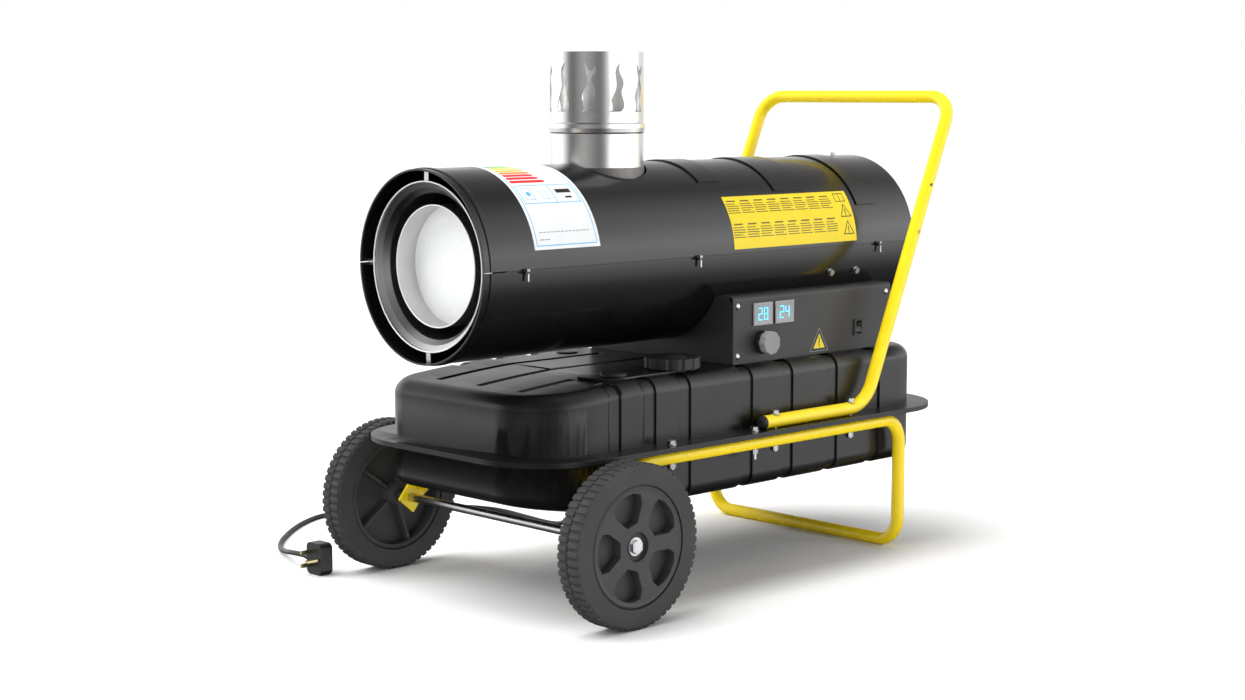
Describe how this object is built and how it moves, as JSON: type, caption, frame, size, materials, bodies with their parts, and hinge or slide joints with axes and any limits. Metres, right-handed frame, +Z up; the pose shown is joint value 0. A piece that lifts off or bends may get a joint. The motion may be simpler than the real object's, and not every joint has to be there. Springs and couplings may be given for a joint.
{
  "type": "indirect-fired portable space heater",
  "caption": "Wheeled indirect-fired heater: round barrel with flue and outlet over a pressed fuel tank, tubular stand and handle, side control panel, supply lead with plug.",
  "frame": {"origin": "on the floor under the middle of the machine's own box, supply lead left out", "axes": "+Z up, -Y the way the hot air blows out of the barrel, +X the side with the control panel"},
  "size_m": [0.9995, 1.024, 0.852],
  "materials": {
    "barrel_paint": "gloss black paint over rolled sheet",
    "tank_paint": "satin black powder coat on pressed sheet",
    "box_paint": "satin black powder coat",
    "frame_paint": "yellow enamel on bent tube",
    "liner_steel": "bright rolled sheet",
    "baffle_paint": "pale heat-proof coat",
    "exchanger_steel": "plain heat-darkened sheet",
    "flue_steel": "bright stainless sheet",
    "zinc_plate": "zinc-plated fasteners",
    "rear_wire": "black coated wire",
    "fan_alloy": "pressed sheet",
    "motor_cast": "painted castings",
    "ceramic_white": "glazed ceramic",
    "brass_parts": "machined brass and copper pipe",
    "black_plastic": "moulded black plastic",
    "knob_plastic": "moulded grey plastic",
    "display_unit": "grey bezel with a clear window",
    "circuit_green": "lacquered board",
    "wheel_plastic": "moulded dark grey plastic",
    "wheel_rubber": "solid rubber tyre",
    "hose_rubber": "fuel-proof hose",
    "lead_rubber": "round rubber-sheathed lead",
    "plug_plastic": "moulded plug",
    "plug_brass": "plug pins"
  },
  "bodies": {
    "heater": {"axle": "zinc_plate", "axle_nuts": "zinc_plate", "axle_plates": "frame_paint", "barrel_bolts": "zinc_plate", "barrel_lower": "barrel_paint", "barrel_upper": "barrel_paint", "burner_plate": "liner_steel", "cable_gland": "black_plastic", "circuit_board": "circuit_green", "control_panel": "box_paint", "cord_coil": "lead_rubber", "cord_to_coil": "lead_rubber", "cord_to_plug": "lead_rubber", "drain_plug": "zinc_plate", "fan_motor": "motor_cast", "filler_neck": "tank_paint", "filler_strainer": "zinc_plate", "flame_sensor": "black_plastic", "flame_tube": "liner_steel", "flue_pipe": "flue_steel", "frame_bolts": "zinc_plate", "front_baffle": "baffle_paint", "fuel_gauge": "black_plastic", "fuel_hose": "hose_rubber", "fuel_nozzle": "brass_parts", "fuel_pickup": "brass_parts", "fuel_pump": "motor_cast", "handle_end_caps": "black_plastic", "handle_tube": "frame_paint", "heat_exchanger": "exchanger_steel", "ignition_electrodes": "ceramic_white", "ignition_transformer": "black_plastic", "liner_clips": "liner_steel", "motor_bracket": "box_paint", "nozzle_pipe": "brass_parts", "outlet_funnel": "liner_steel", "outlet_liner": "liner_steel", "outlet_sleeve": "liner_steel", "panel_screws": "zinc_plate", "plug_body": "plug_plastic", "plug_pins": "plug_brass", "rear_guard": "rear_wire", "rocker_bezel": "black_plastic", "room_display": "display_unit", "setting_display": "display_unit", "stand_tube": "frame_paint", "support_box": "box_paint", "tank_lower": "tank_paint", "tank_upper": "tank_paint", "tank_vent": "black_plastic", "thermostat_body": "black_plastic"},
    "lead_side_wheel": {"lead_side_rim": "wheel_plastic", "lead_side_tyre": "wheel_rubber"},
    "panel_side_wheel": {"panel_side_rim": "wheel_plastic", "panel_side_tyre": "wheel_rubber"},
    "fan": {"fan_blade": "fan_alloy", "motor_shaft": "zinc_plate"},
    "thermostat_dial": {"thermostat_knob": "knob_plastic"},
    "power_rocker": {"rocker_switch": "black_plastic"},
    "tank_cap": {"filler_cap": "black_plastic"}
  },
  "joints": [
    {"name": "lead_side_wheel_spin", "type": "hinge", "parent": "heater", "child": "lead_side_wheel", "pos_m": [-0.2843, -0.35335, 0.125], "axis": [1, 0, 0], "continuous": true},
    {"name": "panel_side_wheel_spin", "type": "hinge", "parent": "heater", "child": "panel_side_wheel", "pos_m": [0.2843, -0.35335, 0.125], "axis": [1, 0, 0], "continuous": true},
    {"name": "fan_spin", "type": "hinge", "parent": "heater", "child": "fan", "pos_m": [0, 0.33, 0.528], "axis": [0, 1, 0], "continuous": true},
    {"name": "thermostat_turn", "type": "hinge", "parent": "heater", "child": "thermostat_dial", "pos_m": [0.17, 0.0647, 0.3825], "axis": [1, 0, 0], "range_deg": [0, 270]},
    {"name": "rocker_tilt", "type": "hinge", "parent": "heater", "child": "power_rocker", "pos_m": [0.167, 0.3114, 0.3878], "axis": [0, 1, 0], "range_deg": [-16, 0]},
    {"name": "cap_turn", "type": "hinge", "parent": "heater", "child": "tank_cap", "pos_m": [0.138, -0.1134, 0.36], "axis": [0, 0, 1], "range_deg": [0, 90]}
  ]
}
